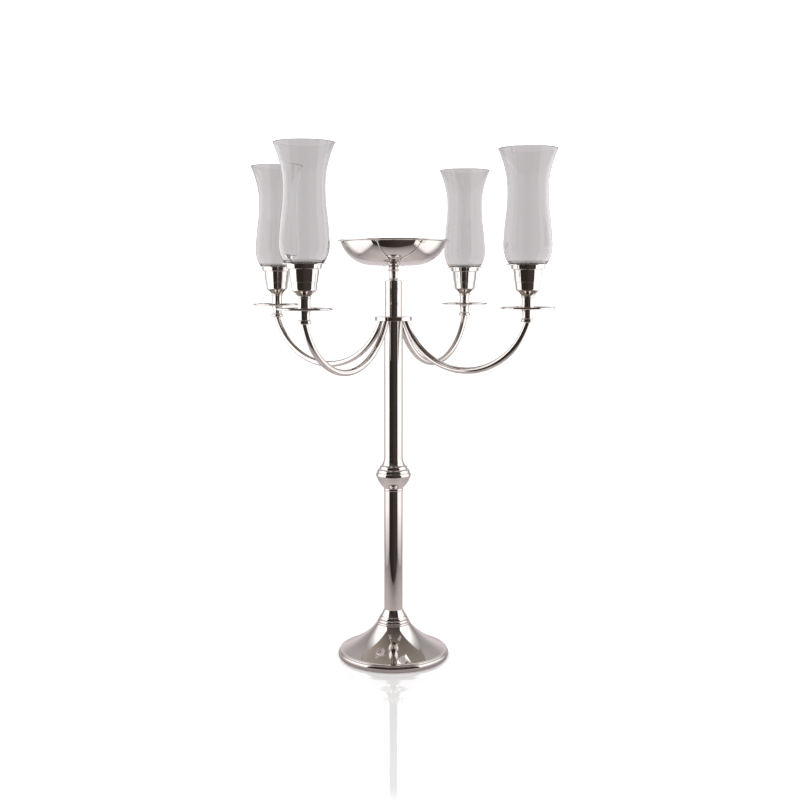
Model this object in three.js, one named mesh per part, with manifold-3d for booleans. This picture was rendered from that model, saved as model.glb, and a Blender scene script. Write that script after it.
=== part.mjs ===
// Tabletop candelabra: a weighted dish base, a column in two lengths, a hub with four U-shaped
// arms, a cup with a glass hurricane shade on each arm, and a shallow bowl on top.
// Millimetres, +Z up, the origin is the centre of the base's underside. The arms lie on X and Y.

import * as THREE from 'three';
import { mergeVertices } from 'three/addons/utils/BufferGeometryUtils.js';
import Module from 'manifold-3d';

const wasm = await Module();
wasm.setup();

// Fits
const GAP = 0.3; // between pieces that touch
const ROD_RADIUS = 4; // M8 tie rod
const ROD_HOLE = ROD_RADIUS + GAP; // threaded on the rod
const ROD_CLEARANCE = 6.5; // bore of the pieces that the rod only passes through
const STUD_RADIUS = 3; // M6 stud in each cup
const STUD_HOLE = STUD_RADIUS + GAP;
const NUT_RADIUS = 7.5; // across the corners
const NUT_HEIGHT = 6.5;
const WASHER_RADIUS = 12;
const WASHER_THICKNESS = 1.6;

// Base
const FELT_RADIUS = 85;
const FELT_THICKNESS = 2;
const RIM_RADIUS = 94; // the rolled edge
const RIM_BOTTOM = 0.6;
const RIM_TOP = 10;
const DISH_WALL = 2;
const NECK_RADIUS = 29; // top of the dish
const NECK_HEIGHT = 56;
const BALLAST_TOP = 23;
const NUT_POCKET_RADIUS = 16;
const NUT_POCKET_TOP = 12.4;

// Column
const TUBE_RADIUS = 15.9;
const TUBE_WALL = 1.5;
const SPIGOT_RADIUS = 13.9; // register of a turned piece inside a tube
const SPIGOT_LENGTH = 3;
const LOWER_TUBE_BOTTOM = 80.1;
const KNOP_BOTTOM = 283.7;
const KNOP_TOP = 338;
const KNOP_RADIUS = 30;
const HUB_BOTTOM = 572.5;
const HUB_TOP = 579.4;
const HUB_RADIUS = 31.7;
const SLEEVE_RADIUS = 14.4;
const SLEEVE_TOP = 639.4;
const CAP_TOP = 640.7;
const ROD_BOTTOM = 3.2;
const ROD_TOP = 655;

// Bowl
const STEM_BOTTOM = CAP_TOP + GAP;
const STEM_TOP = 663.7;
const FLANGE_RADIUS = 17.6;
const FLANGE_TOP = 665.2;
const BOWL_BOTTOM = FLANGE_TOP + GAP;
const BOWL_FLOOR = 667.1;
const BOWL_FLOOR_RADIUS = 33;
const BOWL_RIM_RADIUS = 94.7;
const BOWL_RIM_TOP = 709;

// Arms
const ARM_COUNT = 4;
const ARM_REACH = 250; // column axis to candle axis
const ARM_RADIUS = 5.5;
const ARM_BORE = 4.2;
const ARM_BEND_RADIUS = 119.7;
const ARM_BEND_REACH = 136.8; // column axis to the bend's centre
const ARM_BEND_HEIGHT = 613.2; // height of the bend's centre
const ARM_STEPS = 16;
const CUT_MARGIN = 4; // the tube is made this much too long, then cut level

// Cups, at the ends of the arms
const FERRULE_BOTTOM = 574.6;
const PAN_BOTTOM = 595.5;
const PAN_RADIUS = 43;
const PAN_SHEET = 1.3;
const STEM_FOOT = PAN_BOTTOM + PAN_SHEET + GAP;
const CUP_BOTTOM = 615.3;
const CUP_FLOOR = 628;
const CUP_TOP = 664.2;
const GALLERY_RADIUS = 34.4;
const GALLERY_HOLE = 21.4;
const GALLERY_TOP = 665.9;
const SOCKET_RADIUS = 13.4;
const SOCKET_BORE = 11.2; // a 22 mm taper candle
const SOCKET_FLOOR = 634.5;
const SOCKET_TOP = 652;
const STUD_BOTTOM = 583;
const STUD_TOP = 631.9;

// Glass shade
const GLASS = 2.2; // thickness
const FITTER_RADIUS = 20.2; // collar that drops into the cup
const FITTER_BOTTOM = 656.5;
const SHADE_SEAT = GALLERY_TOP + GAP;
const SHADE_TOP = 847;

// Facets round each kind of turned piece
const WIDE = 24;
const MEDIUM = 20;
const STEM_SIDES = 16;
const SMALL = 12;
const HEX = 6;

const nickel = new THREE.MeshStandardMaterial({ color: 0xd8d3cf, metalness: 1, roughness: 0.08 });
const glass = new THREE.MeshStandardMaterial({
  color: 0xf2f5f4, metalness: 0, roughness: 0.02, transparent: true, opacity: 0.3,
});
const iron = new THREE.MeshStandardMaterial({ color: 0x3a3a3c, metalness: 0.8, roughness: 0.7 });
const steel = new THREE.MeshStandardMaterial({ color: 0xa9a9a6, metalness: 1, roughness: 0.4 });
const felt = new THREE.MeshStandardMaterial({ color: 0x1c1d1c, metalness: 0, roughness: 1 });

// Half-section of a turned piece, as radius and height. It runs anticlockwise: out along the
// underside, up the outside and back in over the top.
class Outline {
  constructor(radius, height) {
    this.points = [new THREE.Vector2(radius, height)];
  }

  get end() {
    return this.points[this.points.length - 1];
  }

  line(radius, height) {
    this.points.push(new THREE.Vector2(radius, height));
    return this;
  }

  // Smooth curve that leaves towards the control point and arrives from it.
  curve(controlRadius, controlHeight, radius, height, steps) {
    const control = new THREE.Vector2(controlRadius, controlHeight);
    const bezier = new THREE.QuadraticBezierCurve(this.end, control, new THREE.Vector2(radius, height));
    this.points.push(...bezier.getPoints(steps).slice(1));
    return this;
  }

  // Rounded reed that stands proud of the straight line to the given point.
  reed(radius, height, proud, steps) {
    const start = this.end;
    const along = new THREE.Vector2(radius, height).sub(start).normalize();
    const controlRadius = (start.x + radius) / 2 + along.y * proud * 2;
    const controlHeight = (start.y + height) / 2 - along.x * proud * 2;
    return this.curve(controlRadius, controlHeight, radius, height, steps);
  }

  close() {
    return this.line(this.points[0].x, this.points[0].y);
  }
}

function part(name, geometry, material) {
  const mesh = new THREE.Mesh(geometry, material);
  mesh.name = name;
  return mesh;
}

function turned(name, material, sides, outline) {
  const geometry = new THREE.LatheGeometry(outline.points, sides);
  geometry.rotateX(Math.PI / 2);
  return part(name, geometry, material);
}

// Plain ring, tube or washer
function ring(name, material, sides, inner, outer, bottom, top) {
  const outline = new Outline(inner, bottom).line(outer, bottom).line(outer, top).line(inner, top);
  return turned(name, material, sides, outline.close());
}

// Plain disc or rod
function disc(name, material, sides, radius, bottom, top) {
  const outline = new Outline(0, bottom).line(radius, bottom).line(radius, top).line(0, top);
  return turned(name, material, sides, outline);
}

function toSolid(geometry) {
  const bare = geometry.clone();
  bare.deleteAttribute('normal');
  bare.deleteAttribute('uv');
  const merged = mergeVertices(bare);
  return new wasm.Manifold(new wasm.Mesh({
    numProp: 3,
    vertProperties: new Float32Array(merged.attributes.position.array),
    triVerts: new Uint32Array(merged.index.array),
  }));
}

function toGeometry(solid) {
  const mesh = solid.getMesh();
  const geometry = new THREE.BufferGeometry();
  geometry.setAttribute('position', new THREE.BufferAttribute(mesh.vertProperties, 3));
  geometry.setIndex(new THREE.BufferAttribute(mesh.triVerts, 1));
  geometry.computeVertexNormals();
  return geometry;
}

// ---- base ----

// Spun dish: a trumpet that flattens into a rounded shoulder, a crease and a rolled rim.
function baseShell() {
  const creaseRadius = RIM_RADIUS - 1.6;
  const outline = new Outline(RIM_RADIUS - 4, RIM_BOTTOM)
    .line(creaseRadius, RIM_BOTTOM)
    .reed(creaseRadius, RIM_TOP, 1.6, 4)
    .curve(92.2, 12.3, 89, 12.8, 2)
    .curve(44, 33.4, NECK_RADIUS, NECK_HEIGHT, 7)
    .line(ROD_CLEARANCE, NECK_HEIGHT)
    .line(ROD_CLEARANCE, NECK_HEIGHT - DISH_WALL)
    .line(NECK_RADIUS - DISH_WALL, NECK_HEIGHT - DISH_WALL)
    .curve(43.4, 31.8, 86, 11.2, 6)
    .line(RIM_RADIUS - 4, 8.8);
  return turned('base_shell', nickel, WIDE, outline.close());
}

// Cast weight that fills the outer part of the dish, with a pocket below for the nut.
function baseBallast() {
  const bottom = FELT_THICKNESS + GAP;
  const outline = new Outline(NUT_POCKET_RADIUS, bottom)
    .line(86, bottom)
    .line(86, 9.4)
    .line(84, 10.9)
    .line(62, BALLAST_TOP)
    .line(ROD_CLEARANCE, BALLAST_TOP)
    .line(ROD_CLEARANCE, NUT_POCKET_TOP)
    .line(NUT_POCKET_RADIUS, NUT_POCKET_TOP);
  return turned('base_ballast', iron, WIDE, outline.close());
}

// Collar on top of the dish: three reeds, then a plain cone up to the column.
function baseFerrule() {
  const outline = new Outline(ROD_CLEARANCE, NECK_HEIGHT + GAP)
    .line(28.4, NECK_HEIGHT + GAP)
    .reed(26.9, 59.4, 0.6, 2)
    .reed(24.8, 63.6, 0.6, 2)
    .reed(21.9, 69.3, 0.6, 2)
    .line(TUBE_RADIUS, LOWER_TUBE_BOTTOM - GAP)
    .line(SPIGOT_RADIUS, LOWER_TUBE_BOTTOM - GAP)
    .line(SPIGOT_RADIUS, LOWER_TUBE_BOTTOM + SPIGOT_LENGTH)
    .line(ROD_CLEARANCE, LOWER_TUBE_BOTTOM + SPIGOT_LENGTH);
  return turned('base_ferrule', nickel, MEDIUM, outline.close());
}

function nutAndWasher(nutName, washerName, nutBottom, washerBottom) {
  return [
    ring(nutName, steel, HEX, ROD_HOLE * 1.1, NUT_RADIUS, nutBottom, nutBottom + NUT_HEIGHT),
    ring(washerName, steel, SMALL, ROD_HOLE, WASHER_RADIUS, washerBottom, washerBottom + WASHER_THICKNESS),
  ];
}

function baseFixings() {
  const washerBottom = NUT_POCKET_TOP - GAP - WASHER_THICKNESS;
  const nutBottom = washerBottom - GAP - NUT_HEIGHT;
  return nutAndWasher('base_nut', 'base_washer', nutBottom, washerBottom);
}

// ---- column ----

function columnTube(name, bottom, top) {
  return ring(name, nickel, MEDIUM, TUBE_RADIUS - TUBE_WALL, TUBE_RADIUS, bottom, top);
}

// Turned knop between the two lengths of tube: bowl-shaped below, three reeds, flare above.
function columnKnop() {
  const outline = new Outline(ROD_CLEARANCE, KNOP_BOTTOM - SPIGOT_LENGTH)
    .line(SPIGOT_RADIUS, KNOP_BOTTOM - SPIGOT_LENGTH)
    .line(SPIGOT_RADIUS, KNOP_BOTTOM)
    .line(TUBE_RADIUS, KNOP_BOTTOM)
    .line(16.2, 287.3)
    .curve(25.4, 295.6, 28.6, 306.4, 3)
    .reed(28.6, 314.4, KNOP_RADIUS - 28.6, 2)
    .reed(25, 320.6, 0.8, 2)
    .reed(20.6, 326.8, 0.6, 2)
    .curve(17.2, 331.5, TUBE_RADIUS, KNOP_TOP, 3)
    .line(SPIGOT_RADIUS, KNOP_TOP)
    .line(SPIGOT_RADIUS, KNOP_TOP + SPIGOT_LENGTH)
    .line(ROD_CLEARANCE, KNOP_TOP + SPIGOT_LENGTH);
  return turned('column_knop', nickel, MEDIUM, outline.close());
}

function armHub() {
  const edge = 0.5;
  const outline = new Outline(ROD_CLEARANCE, HUB_BOTTOM - SPIGOT_LENGTH)
    .line(SPIGOT_RADIUS, HUB_BOTTOM - SPIGOT_LENGTH)
    .line(SPIGOT_RADIUS, HUB_BOTTOM)
    .line(HUB_RADIUS - edge, HUB_BOTTOM)
    .line(HUB_RADIUS, HUB_BOTTOM + edge)
    .line(HUB_RADIUS, HUB_TOP - edge)
    .line(HUB_RADIUS - edge, HUB_TOP)
    .line(ROD_CLEARANCE, HUB_TOP);
  return turned('arm_hub', nickel, MEDIUM, outline.close());
}

function hubFixings() {
  const washerBottom = HUB_TOP + GAP;
  const nutBottom = washerBottom + WASHER_THICKNESS + GAP;
  return nutAndWasher('hub_nut', 'hub_washer', nutBottom, washerBottom);
}

function columnSleeve() {
  const inner = SLEEVE_RADIUS - TUBE_WALL;
  return ring('column_sleeve', nickel, MEDIUM, inner, SLEEVE_RADIUS, HUB_TOP + GAP, SLEEVE_TOP);
}

// Plug in the top of the sleeve, with a lip over the sleeve's end.
function sleeveCap() {
  const plugRadius = SLEEVE_RADIUS - TUBE_WALL - GAP;
  const plugBottom = SLEEVE_TOP - 6;
  const outline = new Outline(ROD_HOLE, plugBottom)
    .line(plugRadius, plugBottom)
    .line(plugRadius, SLEEVE_TOP + GAP)
    .line(SLEEVE_RADIUS - 0.2, SLEEVE_TOP + GAP)
    .line(SLEEVE_RADIUS - 0.5, CAP_TOP)
    .line(ROD_HOLE, CAP_TOP);
  return turned('sleeve_cap', nickel, MEDIUM, outline.close());
}

// ---- bowl ----

// Turned stem: foot, straight neck, bead and a short flare. It screws on to the end of the rod.
function bowlStem() {
  const holeTop = ROD_TOP + 2;
  const outline = new Outline(0, holeTop)
    .line(ROD_HOLE, holeTop)
    .line(ROD_HOLE, STEM_BOTTOM)
    .line(12.3, STEM_BOTTOM)
    .curve(7.6, 641.8, 7.2, 645.5, 2)
    .line(7.2, 656)
    .reed(7.3, 661, 2.9, 4)
    .line(9.7, STEM_TOP)
    .line(0, STEM_TOP);
  return turned('bowl_stem', nickel, STEM_SIDES, outline);
}

// Spun bowl with a flat floor and a narrow flat lip.
function bowl() {
  const bodyRadius = BOWL_RIM_RADIUS - 4.25;
  const outline = new Outline(0, BOWL_BOTTOM)
    .line(BOWL_FLOOR_RADIUS, BOWL_BOTTOM)
    .curve(73.4, 666.5, bodyRadius, BOWL_RIM_TOP - 3, 6)
    .line(BOWL_RIM_RADIUS, BOWL_RIM_TOP - 1.6)
    .line(BOWL_RIM_RADIUS, BOWL_RIM_TOP)
    .line(bodyRadius - 0.6, BOWL_RIM_TOP)
    .curve(73.2, 667.8, BOWL_FLOOR_RADIUS, BOWL_FLOOR, 6)
    .line(0, BOWL_FLOOR);
  return turned('bowl', nickel, WIDE, outline);
}

// ---- arm ----

// Centre line of an arm: an arc in the XZ plane that hangs below its two ends.
class ArmLine extends THREE.Curve {
  constructor(startAngle, endAngle) {
    super();
    this.startAngle = startAngle;
    this.endAngle = endAngle;
  }

  getPoint(t) {
    const angle = THREE.MathUtils.lerp(this.startAngle, this.endAngle, t);
    const reach = ARM_BEND_REACH + ARM_BEND_RADIUS * Math.sin(angle);
    return new THREE.Vector3(reach, 0, ARM_BEND_HEIGHT - ARM_BEND_RADIUS * Math.cos(angle));
  }
}

function regularShape(ShapeClass, radius, sides) {
  const shape = new ShapeClass();
  for (let i = 0; i < sides; i += 1) {
    const angle = (i / sides) * Math.PI * 2;
    const x = radius * Math.cos(angle);
    const y = radius * Math.sin(angle);
    if (i === 0) shape.moveTo(x, y);
    else shape.lineTo(x, y);
  }
  shape.closePath();
  return shape;
}

// Solid block that takes off everything above a level, on one side of the bend.
function cutter(fromReach, toReach, level) {
  const size = 60;
  const block = new THREE.BoxGeometry(toReach - fromReach, size, size);
  block.translate((fromReach + toReach) / 2, 0, level + size / 2);
  return toSolid(block);
}

// Bent tube, cut level where it meets the hub above and the ferrule above.
function armGeometry() {
  const hubLevel = HUB_BOTTOM - GAP;
  const ferruleLevel = FERRULE_BOTTOM - GAP;
  const extra = CUT_MARGIN / ARM_BEND_RADIUS;
  const angleAt = (level) => Math.acos((ARM_BEND_HEIGHT - level) / ARM_BEND_RADIUS);
  const section = regularShape(THREE.Shape, ARM_RADIUS, 8);
  section.holes.push(regularShape(THREE.Path, ARM_BORE, 6));
  const tube = new THREE.ExtrudeGeometry(section, {
    steps: ARM_STEPS,
    extrudePath: new ArmLine(-angleAt(hubLevel) - extra, angleAt(ferruleLevel) + extra),
  });
  const innerCutter = cutter(-10, ARM_BEND_REACH, hubLevel);
  const outerCutter = cutter(ARM_BEND_REACH, ARM_REACH + 40, ferruleLevel);
  return toGeometry(toSolid(tube).subtract(innerCutter).subtract(outerCutter));
}

// Ring and waisted neck between the arm and the drip pan.
function armFerrule(name) {
  const ringRadius = 9.9;
  const ringTop = FERRULE_BOTTOM + 5.8;
  const outline = new Outline(STUD_HOLE, FERRULE_BOTTOM)
    .line(ringRadius, FERRULE_BOTTOM)
    .reed(ringRadius, ringTop, 0.8, 2)
    .line(8, ringTop + 0.6)
    .curve(7.6, 590, 10.4, PAN_BOTTOM - GAP, 3)
    .line(STUD_HOLE, PAN_BOTTOM - GAP);
  return turned(name, nickel, SMALL, outline.close());
}

// Thin saucer with a rolled edge, which catches the wax.
function dripPan(name) {
  const edgeRise = 0.6;
  const edgeHeight = 2.9;
  const corner = 0.8;
  const flatRadius = 22;
  const outline = new Outline(STUD_HOLE, PAN_BOTTOM)
    .line(flatRadius, PAN_BOTTOM)
    .line(PAN_RADIUS - 2 * corner, PAN_BOTTOM + edgeRise)
    .line(PAN_RADIUS, PAN_BOTTOM + edgeRise + corner)
    .line(PAN_RADIUS, PAN_BOTTOM + edgeRise + edgeHeight - corner)
    .line(PAN_RADIUS - corner, PAN_BOTTOM + edgeRise + edgeHeight)
    .line(PAN_RADIUS - 3 * corner, PAN_BOTTOM + edgeRise + edgeHeight - corner)
    .line(flatRadius, PAN_BOTTOM + PAN_SHEET)
    .line(STUD_HOLE, PAN_BOTTOM + PAN_SHEET);
  return turned(name, nickel, MEDIUM, outline.close());
}

function cupStem(name) {
  const outline = new Outline(STUD_HOLE, STEM_FOOT)
    .line(10.4, STEM_FOOT)
    .line(10.2, STEM_FOOT + 1.6)
    .curve(9, 606.5, 10.4, CUP_BOTTOM - 1.5, 3)
    .line(9.6, CUP_BOTTOM - GAP)
    .line(STUD_HOLE, CUP_BOTTOM - GAP);
  return turned(name, nickel, SMALL, outline.close());
}

// Cup in three tiers: rounded underside, straight wall with a step, and a wider collar.
function candleCup(name) {
  const outline = new Outline(STUD_HOLE, CUP_BOTTOM)
    .line(9.8, CUP_BOTTOM)
    .curve(13.6, 620.8, 18.6, 625, 3)
    .line(20.4, 637.5)
    .line(20.8, 639.9)
    .line(23.2, 657.6)
    .line(26.6, 658.2)
    .line(27.3, CUP_TOP)
    .line(25.6, CUP_TOP)
    .line(25.3, 660)
    .line(21.7, 659.4)
    .line(18.8, 638.5)
    .line(17, CUP_FLOOR)
    .line(STUD_HOLE, CUP_FLOOR);
  return turned(name, nickel, STEM_SIDES, outline.close());
}

// Turned holder for the candle's foot. It screws on to the stud and clamps the cup.
function candleSocket(name) {
  const corner = 0.5;
  const holeTop = STUD_TOP + GAP;
  const outline = new Outline(0, holeTop)
    .line(STUD_HOLE, holeTop)
    .line(STUD_HOLE, CUP_FLOOR + GAP)
    .line(SOCKET_RADIUS, CUP_FLOOR + GAP)
    .line(SOCKET_RADIUS, SOCKET_TOP)
    .line(SOCKET_BORE, SOCKET_TOP)
    .line(SOCKET_BORE, SOCKET_FLOOR + corner)
    .line(SOCKET_BORE - corner, SOCKET_FLOOR)
    .line(0, SOCKET_FLOOR);
  return turned(name, nickel, SMALL, outline);
}

function shadeCurves(outline, inset, steps) {
  return outline
    .curve(38.9 - inset, 678, 38.7 - inset, 698, steps)
    .curve(37.3 - inset, 724, 34 - inset, 749.5, steps)
    .curve(31.6 - inset, 772.5, 33 - inset, 797, steps)
    .curve(36 - inset, 822, 47 - inset, SHADE_TOP, steps);
}

// Blown shade: collar in the cup, tucked foot, belly, waist and flared mouth.
function hurricaneShade(name) {
  const steps = 2;
  const foot = 29.4;
  const outline = new Outline(FITTER_RADIUS - GLASS, FITTER_BOTTOM).line(FITTER_RADIUS, FITTER_BOTTOM);
  outline.line(FITTER_RADIUS, SHADE_SEAT).line(foot, SHADE_SEAT + 0.4);
  shadeCurves(outline, 0, steps);
  const inside = new Outline(FITTER_RADIUS - GLASS, SHADE_SEAT + GLASS);
  inside.line(foot - GLASS, SHADE_SEAT + GLASS + 0.4);
  shadeCurves(inside, GLASS, steps);
  outline.points.push(...inside.points.reverse());
  return turned(name, glass, SMALL, outline.close());
}

// ---- assembly ----

function candleArm(number, bentTube) {
  const arm = new THREE.Group();
  arm.add(part(`arm_${number}`, bentTube, nickel));
  const cup = new THREE.Group();
  cup.position.x = ARM_REACH;
  cup.add(
    armFerrule(`arm_ferrule_${number}`),
    dripPan(`drip_pan_${number}`),
    cupStem(`cup_stem_${number}`),
    candleCup(`candle_cup_${number}`),
    ring(`gallery_ring_${number}`, nickel, MEDIUM, GALLERY_HOLE, GALLERY_RADIUS, CUP_TOP + GAP, GALLERY_TOP),
    candleSocket(`candle_socket_${number}`),
    disc(`cup_stud_${number}`, steel, SMALL, STUD_RADIUS, STUD_BOTTOM, STUD_TOP),
    hurricaneShade(`hurricane_shade_${number}`),
  );
  arm.add(cup);
  arm.rotation.z = ((number - 1) / ARM_COUNT) * Math.PI * 2;
  return arm;
}

const candelabra = new THREE.Group();

candelabra.add(
  disc('felt_pad', felt, WIDE, FELT_RADIUS, 0, FELT_THICKNESS),
  baseBallast(),
  baseShell(),
  baseFerrule(),
  ...baseFixings(),
  disc('tie_rod', steel, SMALL, ROD_RADIUS, ROD_BOTTOM, ROD_TOP),
  columnTube('lower_column_tube', LOWER_TUBE_BOTTOM, KNOP_BOTTOM - GAP),
  columnKnop(),
  columnTube('upper_column_tube', KNOP_TOP + GAP, HUB_BOTTOM - GAP),
  armHub(),
  ...hubFixings(),
  columnSleeve(),
  sleeveCap(),
  bowlStem(),
  disc('bowl_flange', nickel, MEDIUM, FLANGE_RADIUS, STEM_TOP + GAP, FLANGE_TOP),
  bowl(),
);

const bentTube = armGeometry();
for (let number = 1; number <= ARM_COUNT; number += 1) {
  candelabra.add(candleArm(number, bentTube));
}

export default candelabra;
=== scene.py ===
"""Looks of the tabletop candelabra: polished nickel, blown glass shades, felt and a plain white studio.

Outlines of turned pieces are in millimetres, as radius and height, and every one starts from the box of
the CAD node that it stands for. Blender objects are in metres, in the CAD's frame.
"""

import math
from types import SimpleNamespace

import bpy
import numpy as np
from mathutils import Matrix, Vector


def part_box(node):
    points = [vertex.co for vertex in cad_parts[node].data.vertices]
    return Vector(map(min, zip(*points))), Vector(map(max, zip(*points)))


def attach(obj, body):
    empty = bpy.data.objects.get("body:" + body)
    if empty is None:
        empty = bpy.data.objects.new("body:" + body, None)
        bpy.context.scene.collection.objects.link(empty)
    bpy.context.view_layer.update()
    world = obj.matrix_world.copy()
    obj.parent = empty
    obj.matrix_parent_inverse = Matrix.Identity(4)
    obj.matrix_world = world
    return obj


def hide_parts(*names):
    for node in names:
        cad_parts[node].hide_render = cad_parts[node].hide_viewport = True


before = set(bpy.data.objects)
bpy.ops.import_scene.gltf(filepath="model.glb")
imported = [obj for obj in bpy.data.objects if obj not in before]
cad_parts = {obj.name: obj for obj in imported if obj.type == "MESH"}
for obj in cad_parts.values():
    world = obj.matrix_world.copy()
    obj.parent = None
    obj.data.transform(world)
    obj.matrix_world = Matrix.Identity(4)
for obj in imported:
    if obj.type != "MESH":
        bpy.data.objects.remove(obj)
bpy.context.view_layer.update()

MM = 0.001
ARM_NUMBERS = (1, 2, 3, 4)

# Facets round the turned pieces, from the widest to the thinnest
FACETS_WIDE = 192
FACETS_MEDIUM = 128
FACETS_SMALL = 96

# Pieces that join on the real object are drawn together: they meet inside the CAD's 0.3 mm gap
JOIN = 0.29

# Holes for the M8 tie rod and for the M6 studs in the cups, as radii
ROD_HOLE = 4.3
STUD_HOLE = 3.4

# Threads of the rod and the studs: pitch and depth
M8_PITCH = 1.25
M8_DEPTH = 0.6
M6_PITCH = 1.0
M6_DEPTH = 0.5

# The CAD's knop and hub have spigots of this length inside the tubes, which are left out here
SPIGOT = 3

# Each arm is a tube bent to an arc: radii of the tube and of the arc, reach and height of the arc's centre
ARM_TUBE = 5.5
ARM_BEND = 119.7
BEND_REACH = 136.8
BEND_HEIGHT = 613.2

# Camera, measured round the object from -Y
CAMERA_AZIMUTH = 32.4
CAMERA_DISTANCE = 1.870
CAMERA_HEIGHT = 0.639
CAMERA_PITCH = 2.0
CAMERA_LENS = 49.65
CAMERA_SHIFT_X = 0.0082
CAMERA_SHIFT_Y = -0.1001

# Light tent round the object, in metres as the camera stands: two bright sides and a grey back, open above.
# It shows in reflections only.
TENT_SIDE = 0.6
TENT_FRONT = -0.47
TENT_BACK = 0.56
TENT_TOP = 1.06
BACK_TOP = 0.90

# Domes that close the studio: a dark room for reflections, a grey backdrop for what shows through glass
ROOM_RADIUS = 8
BACKDROP_RADIUS = 9

# The floor reaches this far each way, in metres
FLOOR_REACH = 30

# Polished strip of the floor, in metres: how far forward its middle is, and how far from there the polish
# starts to fade and ends. Then how many times longer than wide the strip is, and its share of a clear
# reflection at a grazing view.
POLISH_FORWARD = 0.21
POLISH_FULL = 0.28
POLISH_END = 0.38
POLISH_NARROWING = 3.6
POLISH_SHARE = 0.64


# ---- camera and studio ----


def make_camera():
    """Camera a little below the height of the bowl, looking slightly down."""
    azimuth = math.radians(CAMERA_AZIMUTH)
    data = bpy.data.cameras.new("camera")
    data.sensor_width = 36
    data.lens = CAMERA_LENS
    data.shift_x = CAMERA_SHIFT_X
    data.shift_y = CAMERA_SHIFT_Y
    camera = bpy.data.objects.new("camera", data)
    camera.location = (
        CAMERA_DISTANCE * math.sin(azimuth),
        -CAMERA_DISTANCE * math.cos(azimuth),
        CAMERA_HEIGHT,
    )
    camera.rotation_euler = (math.radians(90 - CAMERA_PITCH), 0, azimuth)
    bpy.context.collection.objects.link(camera)
    bpy.context.scene.camera = camera


def stage_piece(name, points, faces, material, seen_by):
    """Part of the studio, given as right, away and up in the camera's frame. Only some rays see it."""
    mesh = bpy.data.meshes.new(name)
    mesh.from_pydata(points, [], faces)
    mesh.materials.append(material)
    piece = bpy.data.objects.new(name, mesh)
    piece.rotation_euler = (0, 0, math.radians(CAMERA_AZIMUTH))
    bpy.context.collection.objects.link(piece)
    piece.visible_camera = "camera" in seen_by
    piece.visible_diffuse = "diffuse" in seen_by
    piece.visible_glossy = "glossy" in seen_by
    piece.visible_transmission = "transmission" in seen_by
    piece.visible_shadow = False
    piece.visible_volume_scatter = False


def upright_card(name, start, end, low, high, material, seen_by=("glossy",)):
    """Vertical card between two floor points, each given as right and away."""
    points = [(*start, low), (*end, low), (*end, high), (*start, high)]
    stage_piece(name, points, [(0, 1, 2, 3)], material, seen_by)


def level_card(name, right, away, height, material, seen_by=("glossy",)):
    """Horizontal card over a range to the right and a range away from the camera."""
    corners = [(right[0], away[0]), (right[1], away[0]), (right[1], away[1]), (right[0], away[1])]
    points = [(x, y, height) for x, y in corners]
    stage_piece(name, points, [(0, 1, 2, 3)], material, seen_by)


def level_ring(name, inner, outer, height, material, seen_by=("glossy",)):
    """Flat ring on the floor round the object's axis."""
    sides = 96
    points = []
    for radius in (inner, outer):
        for side in range(sides):
            angle = 2 * math.pi * side / sides
            points.append((radius * math.cos(angle), radius * math.sin(angle), height))
    stage_piece(name, points, grid_faces(2, sides, False), material, seen_by)


def dome(name, radius, material, seen_by):
    """Large sphere that closes the studio for one kind of ray."""
    rows, columns = 24, 48
    points = []
    for row in range(rows + 1):
        elevation = math.pi * (row / rows - 0.5)
        for column in range(columns):
            angle = 2 * math.pi * column / columns
            flat = radius * math.cos(elevation)
            points.append((flat * math.cos(angle), flat * math.sin(angle), radius * math.sin(elevation)))
    stage_piece(name, points, grid_faces(rows + 1, columns, False), material, seen_by)


def glow(name, colour, strength=1.0):
    """Plain emission for a studio card."""
    material = bpy.data.materials.new(name)
    material.use_nodes = True
    nodes = material.node_tree.nodes
    nodes.clear()
    output = nodes.new("ShaderNodeOutputMaterial")
    emission = nodes.new("ShaderNodeEmission")
    emission.inputs["Color"].default_value = (*colour, 1)
    emission.inputs["Strength"].default_value = strength
    material.node_tree.links.new(emission.outputs[0], output.inputs["Surface"])
    return material


def gradient(nodes, links, axis, stops):
    """Colour that changes along one axis of the studio: stops are pairs of place and colour."""
    coordinates = nodes.new("ShaderNodeTexCoord")
    split = nodes.new("ShaderNodeSeparateXYZ")
    links.new(coordinates.outputs["Object"], split.inputs[0])
    low, high = stops[0][0], stops[-1][0]
    place = nodes.new("ShaderNodeMapRange")
    place.inputs["From Min"].default_value = low
    place.inputs["From Max"].default_value = high
    links.new(split.outputs[axis], place.inputs["Value"])
    ramp = nodes.new("ShaderNodeValToRGB")
    while len(ramp.color_ramp.elements) < len(stops):
        ramp.color_ramp.elements.new(0.5)
    for element, (where, colour) in zip(ramp.color_ramp.elements, stops):
        element.position = (where - low) / (high - low)
        element.color = (*colour, 1)
    links.new(place.outputs["Result"], ramp.inputs["Fac"])
    return ramp.outputs["Color"]


def graded_glow(name, axis, stops, fade_axis=None, fade=()):
    """Emission with a gradient, dimmed along a second axis where fade gives pairs of place and factor."""
    material = glow(name, (1, 1, 1))
    nodes, links = material.node_tree.nodes, material.node_tree.links
    links.new(gradient(nodes, links, axis, stops), nodes["Emission"].inputs["Color"])
    if fade_axis:
        factors = [(place, (factor, factor, factor)) for place, factor in fade]
        links.new(gradient(nodes, links, fade_axis, factors), nodes["Emission"].inputs["Strength"])
    return material


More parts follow.
